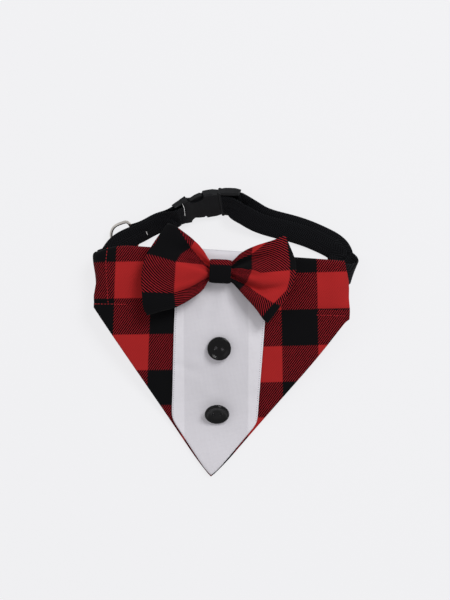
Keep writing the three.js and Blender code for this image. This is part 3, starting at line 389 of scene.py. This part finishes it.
# Bow
# Two loops of flannel in the same check, gathered in the middle. Folds run out of the gather, and the bands
# of the check fan out with them. The knot is a band of the same cloth wrapped round the gather.
# The lines between the bands are pixels of the photograph: rows from left to right, and columns from the
# bottom up. The foot of the last column is moved about three pixels, to suit the folds as modelled here.
BOW_LEVEL_MM = 39
BOW_ROWS = {
    "left": [
        [(160, 205), (178, 228), (190, 247), (204, 263), (210, 267)],
        [(136, 251), (163, 258), (176, 262), (202, 264), (211, 270)],
        [(136, 291), (143, 292), (173, 293), (190, 287), (211, 275)],
    ],
    "right": [
        [(226, 270), (240, 259), (252, 254), (270, 240), (295, 225)],
        [(229, 268), (240, 268), (253, 270), (261, 273), (293, 270)],
        [(230, 277), (249, 286), (256, 292), (272, 302), (286, 308)],
    ],
}
BOW_COLUMNS = {
    "left": [
        [(176, 312), (174, 291), (176, 262), (181, 254), (191, 247), (195, 240)],
    ],
    "right": [
        [(234, 296), (247, 282), (252, 270), (252, 254), (253, 245)],
        [(259, 324), (264, 314), (274, 303), (287, 290), (290, 277), (290, 262), (286, 232)],
    ],
}
BOW_FOLDS = [
    # width, then points of (x, y, depth)
    (2.1, [(-9, 43, 5), (-16, 47, 5), (-25, 49, 3.4), (-32, 50, 0.8), (-38, 49, 0)]),
    (2.2, [(-10, 45, 3.4), (-19, 52, 2.6), (-28, 58, 1), (-33, 63, 0)]),
    (2.1, [(-9, 39, 4.2), (-21, 31, 4.2), (-34, 26, 2.6), (-48, 25, 0.4)]),
    (6.0, [(-30, 40, 0), (-44, 38, 1.6), (-56, 37, 0.8)]),
    (3.0, [(-20, 55, 0), (-28, 55, 2), (-38, 58, 0.3)]),
    (2.2, [(1, 46, 5), (9, 49, 5), (18, 53, 3.2), (30, 56, 0.8)]),
    (2.2, [(3, 40, 4), (14, 35, 4.4), (25, 32, 4.2), (36, 34, 2.2), (43, 37, 0)]),
    (2.2, [(6, 44, 2.2), (20, 42, 1.8), (34, 42, 0)]),
    (3.2, [(6, 52, 0), (16, 58, 2.4), (30, 64, 0.6)]),
]
BOW_TUGS = [
    # x, y, shift in x and y, and reach
    (-53, 17, (-1.9, -2.2), 9),
    (31, 13, (-1.2, -2.4), 8),
    (46, 50, (1.7, 0), 12),
    (-40, 72, (0.5, 1.0), 7),
]
GATHER_MM = (-3.6, 42)
FAN_RADIUS_MM = 35  # the fanned threads have their true pitch this far from the gather


def count_bands(value, levels, first, sign):
    """Counts bands across the levels of their lines, from first. Sign is +1 where the levels rise."""
    if (value - levels[0]) * sign < 0:
        return first + (value - levels[0]) * sign / CHECK_MM
    for count, (low, high) in enumerate(zip(levels, levels[1:])):
        if (value - high) * sign < 0:
            return first + count + (value - low) / (high - low)
    return first + len(levels) - 1 + (value - levels[-1]) * sign / CHECK_MM


def tug(piece, tugs):
    """Draws the cloth out at its corners, where the layers inside push it."""
    for vertex in piece.data.vertices:
        spot = vertex.co / MM
        for x, y, shift, reach in tugs:
            near = math.exp(-((spot.x - x) ** 2 + (spot.y - y) ** 2) / reach**2)
            vertex.co += Vector((*shift, 0)) * near * MM


bow_lines = {
    way: {
        side: [[seen(x, y, BOW_LEVEL_MM) for x, y in line] for line in lines]
        for side, lines in table.items()
    }
    for way, table in (("rows", BOW_ROWS), ("columns", BOW_COLUMNS))
}


def check_of_bow(place):
    """Counts of bands across and down the bow. An odd number is a dark band."""
    side = "left" if place.x < GATHER_MM[0] else "right"
    rows = [read_line(line, place.x, 0) for line in bow_lines["rows"][side]]
    columns = [read_line(line, place.y, 1) for line in bow_lines["columns"][side]]
    return count_bands(place.x, columns, 2, 1), count_bands(place.y, rows, 1, -1)


def threads_of_bow(place):
    """The threads fan out from the gather, so the twill is counted out from it and round it."""
    x, y = place.x - GATHER_MM[0], place.y - GATHER_MM[1]
    round_gather = (-1 if x < 0 else 1) * FAN_RADIUS_MM * math.atan2(y, max(abs(x), 1))
    return math.hypot(x, y) / TWILL_MM, round_gather / TWILL_MM


bow = smoothed_copy("bow_wings", "bow_cloth", 2, 45)
tug(bow, BOW_TUGS)
press_folds(bow, BOW_FOLDS, 32)
lay_out(bow, "cloth", check_of_bow)
lay_out(bow, "threads", threads_of_bow)
bow.data.materials.append(flannel("brushed flannel, bow", 50))
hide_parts("bow_wings")
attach(bow, "collar")

KNOT_TOP_MM = 47.3
KNOT_BANDS = (1.5, 1.98)  # counts of bands at the middle and the top of the knot
knot = smoothed_copy("bow_knot", "knot_cloth", 2)
lay_out(knot, "cloth", lambda place: (KNOT_BANDS[0], KNOT_BANDS[1] - (KNOT_TOP_MM - place.y) / CHECK_MM))
lay_out(knot, "threads", lambda place: (place.x / TWILL_MM, place.y / TWILL_MM))
knot.data.materials.append(flannel("brushed flannel, knot", 50))
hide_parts("bow_knot")
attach(knot, "collar")

# Strap
# Flat nylon webbing, woven in a herringbone, with a painted highlight drawn in the colour of each rib. Its
# ends are folded back round the bars of the buckle and sewn down, and it runs through the sleeve.
RIB_MM = 1.6
STRAP_LINE = [
    # points (x, y) along the webbing behind the neck, from the left end of the sleeve to the right
    *[(-88, 47), (-80, 62), (-66, 68.5), (-50, 75), (-36, 81), (0, 88)],
    *[(20, 84), (40, 78), (60, 73), (76, 67.5), (86, 60), (92, 46)],
]
HEIGHT_SHARE = 0.6  # the webbing leans, so its height counts this much towards its width


def webbing_place(place):
    """Distance along the strap behind the neck and across its width, counted in ribs."""
    best, run = None, 0
    for p, q in zip(STRAP_LINE, STRAP_LINE[1:]):
        ex, ey = q[0] - p[0], q[1] - p[1]
        length = math.hypot(ex, ey)
        share = ((place.x - p[0]) * ex + (place.y - p[1]) * ey) / length**2
        held = min(1, max(0, share))
        away = math.hypot(place.x - p[0] - ex * held, place.y - p[1] - ey * held)
        side = ((place.y - p[1]) * ex - (place.x - p[0]) * ey) / length
        if best is None or away < best[0]:
            best = (away, run + share * length, side)
        run += length
    return best[1] / RIB_MM, (best[2] + place.z * HEIGHT_SHARE) / RIB_MM


def webbing_finish():
    """Woven nylon: matte from above, with a small painted highlight on each rib, drawn as lighter colour."""
    material, shader = new_material("woven nylon webbing", Roughness=0.72, Specular_IOR_Level=0.06)
    place = add(material, "UVMap", {"uv_map": "cloth"})
    split = add(material, "SeparateXYZ", links={"Vector": place})
    chevron = add(material, "Math", {"operation": "PINGPONG", 1: 2.6}, {0: (split, 1)})
    run = add(material, "Math", {"operation": "MULTIPLY_ADD", 1: 0.9}, {0: chevron, 2: (split, 0)})
    slub = add(material, "TexNoise", {"Scale": 1.2, "Detail": 2.0}, {"Vector": place})
    run = add(material, "Math", {"operation": "MULTIPLY_ADD", 1: 0.25}, {0: slub, 2: run})
    turns = add(material, "Math", {"operation": "MULTIPLY", 1: 2 * math.pi}, {0: run})
    rib = add(material, "Math", {"operation": "SINE"}, {0: turns})
    rib = add(material, "MapRange", {"From Min": -1.0, "From Max": 1.0}, {"Value": rib})
    # Painted highlight: the colour is lighter where each rib rises, standing in for its shine.
    colour = add(material, "Mix", {"data_type": "RGBA", 6: linear("#020203"), 7: linear("#1A1B1E")}, {0: rib})
    bump = add(material, "Bump", {"Strength": 0.6, "Distance": 0.0004}, {"Height": rib})
    drive(material, shader, Base_Color=(colour, 2), Normal=bump)
    return material


STRAP_ENDS = [
    # the turn's place along x, how far the webbing is eased from there, and the pull towards the bar
    ("socket", -34.5, 9, (3.4, 0.9)),
    ("plug", -0.5, 9, (-3.2, -0.4)),
]
TURN_LENGTH_MM = 8
TURNS_ABOVE_MM = 68  # both turns lie above this y


def close_up_ends(piece):
    """The webbing's turns round the bars fill the slots of the buckle, so no light shows beside them."""
    for vertex in piece.data.vertices:
        spot = vertex.co / MM
        for half, turn, reach, pull in STRAP_ENDS:
            behind = (turn - spot.x) * (1 if half == "socket" else -1)
            if spot.y > TURNS_ABOVE_MM and -TURN_LENGTH_MM < behind < reach:
                share = 1 - max(0, behind) / reach
                vertex.co += Vector((*pull, 0)) * share * MM


strap = smoothed_copy("strap", "strap_webbing", 2, 35)
close_up_ends(strap)
lay_out(strap, "cloth", webbing_place)
strap.data.materials.append(webbing_finish())
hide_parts("strap")
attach(strap, "collar")

# Buckle
# A side-release buckle moulded in black acetal, with the fine even grain of a spark-eroded mould.


def acetal_finish():
    """Moulded acetal: a satin black that greys where it faces the light, with grain about 0.4 mm across."""
    material, shader = new_material("moulded acetal, fine grain", Specular_IOR_Level=0.15)
    place = add(material, "TexCoord")
    grain = add(material, "TexNoise", {"Scale": 2400.0, "Detail": 2.0}, {"Vector": (place, "Object")})
    wear = add(material, "TexNoise", {"Scale": 120.0, "Detail": 3.0}, {"Vector": (place, "Object")})
    rough = add(material, "MapRange", {"To Min": 0.36, "To Max": 0.52}, {"Value": wear})
    blacks = {"data_type": "RGBA", 6: linear("#0B0C0D"), 7: linear("#121316")}
    colour = add(material, "Mix", blacks, {0: wear})
    bump = add(material, "Bump", {"Strength": 0.15, "Distance": 0.0001}, {"Height": grain})
    drive(material, shader, Base_Color=(colour, 2), Roughness=rough, Normal=bump)
    return material


acetal = acetal_finish()
for half in ("buckle_socket", "buckle_plug"):
    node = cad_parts[half]
    node.data.materials.clear()
    node.data.materials.append(acetal)

# Leash ring
# A D-ring of welded steel wire with a bright nickel plating, free to swing in its loop of webbing.
nickel, nickel_shader = new_material("nickel-plated steel", Base_Color=linear("#D6D2CC"), Metallic=1.0)
place = add(nickel, "TexCoord")
haze = add(nickel, "TexNoise", {"Scale": 300.0, "Detail": 3.0}, {"Vector": (place, "Object")})
rough = add(nickel, "MapRange", {"To Min": 0.1, "To Max": 0.24}, {"Value": haze})
drive(nickel, nickel_shader, Roughness=rough)
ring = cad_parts["d_ring"]
ring.data.materials.clear()
ring.data.materials.append(nickel)

# Buttons
# Two-hole polyester buttons, cast black and tumbled to a high gloss. They are sewn on with black thread,
# which is not drawn.
polyester, polyester_shader = new_material(
    "cast polyester, polished", Base_Color=linear("#060607"), Specular_IOR_Level=0.22
)
place = add(polyester, "TexCoord")
cloud = add(polyester, "TexNoise", {"Scale": 400.0, "Detail": 2.0}, {"Vector": (place, "Object")})
rough = add(polyester, "MapRange", {"To Min": 0.08, "To Max": 0.2}, {"Value": cloud})
drive(polyester, polyester_shader, Roughness=rough)
BUTTON_GROWTH = {"button_upper": 1.02, "button_lower": 1.07}
for node, growth in BUTTON_GROWTH.items():
    button = smoothed_copy(node, node + "_polished", 1, 30)
    low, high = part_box(node)
    middle = Vector([(a + b) / 2 for a, b in zip(low, high)])
    for vertex in button.data.vertices:
        vertex.co = middle + (vertex.co - middle) * growth
    button.data.materials.append(polyester)
    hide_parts(node)
    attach(button, "collar")

# Stitching
# Rows of lockstitch in polyester thread, each stitch half sunk in the cloth: white down both sides of the
# front, red over the sleeve's hems, and the loose white ends of the tacks that hold the webbing, drawn pure
# white as painted light. A row of black thread on the sleeve is painted shadow.


def thread_finish(name, low, high):
    """Spun polyester thread, with painted shade in its colour between the strands of its twist, which are
    drawn 0.4 mm apart.
    """
    material, shader = new_material(name, Roughness=0.8, Specular_IOR_Level=0.2)
    place = add(material, "TexCoord")
    painted_ply_shade = add(material, "TexNoise", {"Scale": 2500.0, "Detail": 1.0}, {"Vector": (place, "Object")})
    colour = add(material, "Mix", {"data_type": "RGBA", 6: linear(low), 7: linear(high)}, {0: painted_ply_shade})
    drive(material, shader, Base_Color=(colour, 2))
    return material


ABOVE_ALL_MM = 100


def sewn_row(name, line, pitch, length, thick, grounds, finish, slot):
    """A row of stitches along (x, y) points. Sizes are in mm, and grounds are the pieces under it."""
    trees = []
    for ground in grounds:
        under = bmesh.new()
        under.from_mesh(ground.data)
        trees.append(BVHTree.FromBMesh(under))
        under.free()
    bpy.ops.object.select_all(action="DESELECT")
    bpy.ops.mesh.primitive_uv_sphere_add(segments=6, ring_count=5, radius=0.5)
    piece = bpy.context.object
    piece.name = name
    row = bmesh.new()
    ahead = pitch / 2
    for p, q in zip(line, line[1:]):
        start, way = Vector((*p, ABOVE_ALL_MM)), Vector((q[0] - p[0], q[1] - p[1], 0))
        span = way.length
        way.normalize()
        while ahead < span:
            hits = [tree.ray_cast((start + way * ahead) * MM, Vector((0, 0, -1))) for tree in trees]
            hits = [hit for hit in hits if hit[0] is not None]
            if hits:
                spot, normal = max(hits, key=lambda hit: hit[0].z)[:2]
                side = normal.cross(way).normalized()
                along = side.cross(normal)
                turn = Matrix((along, side, normal)).transposed().to_4x4()
                size = Matrix.Diagonal((length * MM, thick * MM, thick * MM, 1))
                stitch = piece.data.copy()
                stitch.transform(Matrix.Translation(spot) @ turn @ size)
                row.from_mesh(stitch)
                bpy.data.meshes.remove(stitch)
            ahead += pitch
        ahead -= span
    row.to_mesh(piece.data)
    row.free()
    bpy.ops.object.shade_smooth()
    piece.data.materials.clear()
    piece.data.materials.append(finish)
    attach(piece, "collar")
    return piece


white_thread = thread_finish("spun polyester thread, white", "#5E5B63", "#8A878F")
red_thread = thread_finish("spun polyester thread, red", "#7E1A20", "#C02A30")
# Painted light: the tacks are drawn pure white, far brighter than the front's white thread, for the
# highlights at the webbing's edge and the buckle's slot.
tack_thread_with_painted_light = thread_finish("white thread with painted light", "#D5D5D2", "#FFFFFF")
# Each kind of stitch has its pitch, length and thickness.
FRONT_STITCH = (1.6, 0.75, 0.4)
SLEEVE_STITCH = (2.3, 2.0, 0.45)
SEAM_SHADOW_STITCH = (0.9, 1.3, 0.8)
TACK_STITCH = (0.6, 0.9, 0.42)
SEAM_INSET_MM = 1.1
front_sides = []
for edge, inwards in ((front_low.x, 1), (front_high.x, -1)):
    side = edge + inwards * SEAM_INSET_MM
    foot = edge + inwards * (FRONT_NARROWS_MM + SEAM_INSET_MM)
    front_sides.append([(foot, FRONT_SHOULDER_MM), (side, FRONT_STRAIGHT_MM), (side, front_high.y)])
left_seam, right_seam = front_sides
on_front = [[shirt_front], white_thread, "white_cloth"]
sewn_row("front_stitches_left", left_seam, *FRONT_STITCH, *on_front)
sewn_row("front_stitches_right", right_seam, *FRONT_STITCH, *on_front)
# The seams and tacks are pixels of the photograph. The dark seam on the right is painted shadow, drawn as a
# row of black thread where the seam's ditch is in shade.
SLEEVE_LEVEL_MM = 20
STRAP_LEVEL_MM = 16
SLEEVE_SEAMS = [
    ("sleeve_end_stitches_left", [(108, 247), (106.5, 262), (108, 303)]),
    ("sleeve_stitches_left", [(93.5, 304), (110, 304), (126, 304.5)]),
    ("sleeve_stitches_right", [(316, 315), (329, 315.4), (345, 316)]),
]
# Painted shadow: black thread that stands in for the shade in the ditch of the sleeve's right seam.
painted_seam_shadow = thread_finish("painted seam shadow, black thread", "#070304", "#140608")
SEAM_SHADOW_LINE = [(316, 309), (348, 309)]
seam_shadow_points = [seen(x, y, SLEEVE_LEVEL_MM) for x, y in SEAM_SHADOW_LINE]
sewn_row("painted_seam_shadow_right", seam_shadow_points, *SEAM_SHADOW_STITCH, [neckerchief], painted_seam_shadow, "plaid_cloth")
for name, line in SLEEVE_SEAMS:
    line = [seen(x, y, SLEEVE_LEVEL_MM) for x, y in line]
    sewn_row(name, line, *SLEEVE_STITCH, [neckerchief], red_thread, "plaid_cloth")
tacked = [strap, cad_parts["buckle_socket"]]
# The tacks are thread and painted light at once: their pure white stands in for the highlights at the buckle.
TACKS = [
    ("tack_and_painted_light_at_buckle", [(182.5, 204), (184.2, 208), (185, 216)]),
    ("tack_and_painted_light_on_strap", [(145.5, 231), (146.8, 234)]),
]
for name, line in TACKS:
    line = [seen(x, y, STRAP_LEVEL_MM) for x, y in line]
    sewn_row(name, line, *TACK_STITCH, tacked, tack_thread_with_painted_light, "webbing")
